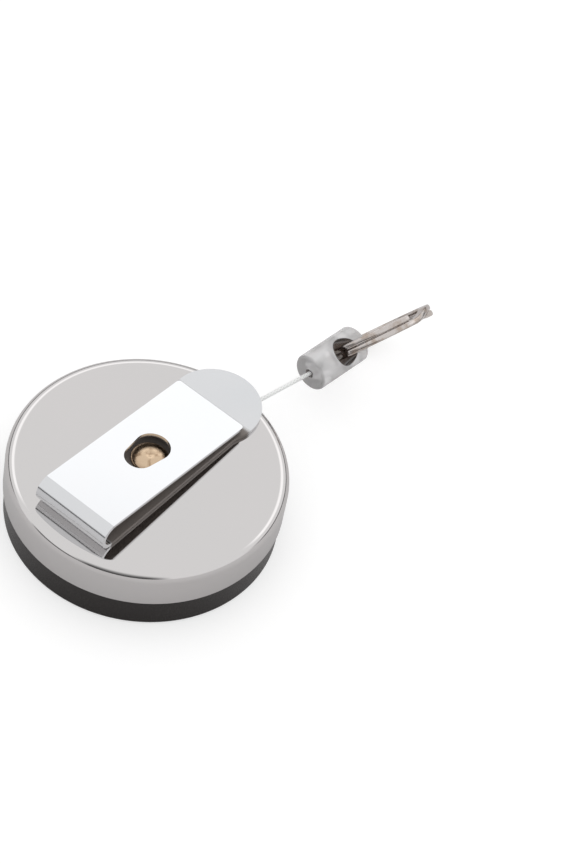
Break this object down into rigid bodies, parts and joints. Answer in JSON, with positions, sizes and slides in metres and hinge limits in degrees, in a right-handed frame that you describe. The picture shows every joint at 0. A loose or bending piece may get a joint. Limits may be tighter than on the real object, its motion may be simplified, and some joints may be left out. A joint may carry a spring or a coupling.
{
  "type": "retractable badge reel",
  "caption": "Round belt-clip reel that pays out and retracts a thin cord, with a clear connector and a split ring on the cord's end.",
  "frame": {"origin": "centre of the case's flat front face, on which the reel lies", "axes": "+Z along the case axis from the front face to the clip side; +X from the case axis through the cord outlet and the tongue of the clip"},
  "size_m": [0.0744, 0.04, 0.016],
  "materials": {
    "black_plastic": "moulded, fine satin texture",
    "chrome_plate": "polished, mirror-like",
    "turned_steel": "turned",
    "nylon_washer": "moulded nylon",
    "spring_steel": "blued, rolled",
    "white_plastic": "moulded",
    "natural_plastic": "natural moulded acetal",
    "nylon_cord": "pale translucent nylon cord",
    "clear_plastic": "clear, polished",
    "plated_ring": "nickel-plated spring wire",
    "plated_strip": "nickel-plated, polished strip",
    "brass_rivet": "bright, slightly aged"
  },
  "bodies": {
    "case": {"front_shell": "black_plastic", "rear_cover": "chrome_plate", "centre_post": "turned_steel", "lower_washer": "nylon_washer", "upper_washer": "nylon_washer", "retaining_ring": "spring_steel", "cord_guide": "white_plastic", "power_spring": "spring_steel", "cord_lead": "nylon_cord", "clip_rivet": "brass_rivet", "rivet_washer": "turned_steel"},
    "spool": {"spool": "natural_plastic", "spring_cover": "natural_plastic", "cord_winding": "nylon_cord", "cord_anchor": "nylon_cord"},
    "cord_end": {"cord_free": "nylon_cord", "cord_knot": "nylon_cord"},
    "connector": {"connector_body": "clear_plastic"},
    "ring": {"split_ring": "plated_ring"},
    "clip": {"clip_base": "plated_strip"},
    "leaf": {"clip_leaf": "plated_strip"}
  },
  "joints": [
    {"name": "cord_pull", "type": "slide", "parent": "case", "child": "cord_end", "axis": [0.9778, -0.2078, 0.0262], "range_m": [-0.011, 0.6], "stiffness_N_per_m": 2, "springref_m": -0.4, "deforming": ["cord_free"]},
    {"name": "spool_spin", "type": "hinge", "parent": "case", "child": "spool", "pos_m": [0, 0, 0.008], "axis": [0, 0, 1], "range_deg": [-50, 2300], "deforming": ["power_spring"]},
    {"name": "connector_swivel", "type": "hinge", "parent": "cord_end", "child": "connector", "pos_m": [0.03154, -0.00424, 0.0085], "axis": [0.9949, -0.1011, 0], "continuous": true},
    {"name": "ring_swing", "type": "hinge", "parent": "connector", "child": "ring", "pos_m": [0.03732, -0.00483, 0.0085], "axis": [-0.055, -0.5419, 0.8387], "range_deg": [-100, 113]},
    {"name": "clip_swivel", "type": "hinge", "parent": "case", "child": "clip", "pos_m": [0, 0, 0.0116], "axis": [0, 0, 1], "continuous": true},
    {"name": "clip_flex", "type": "hinge", "parent": "clip", "child": "leaf", "pos_m": [-0.01607, 0, 0.01225], "axis": [0, -1, 0], "range_deg": [0, 12], "stiffness_Nm_per_rad": 0.3, "springref_deg": -5.73}
  ],
  "couplings": [
    {"joint": "spool_spin", "follows": "cord_pull", "rad_per_m": 65.79}
  ]
}
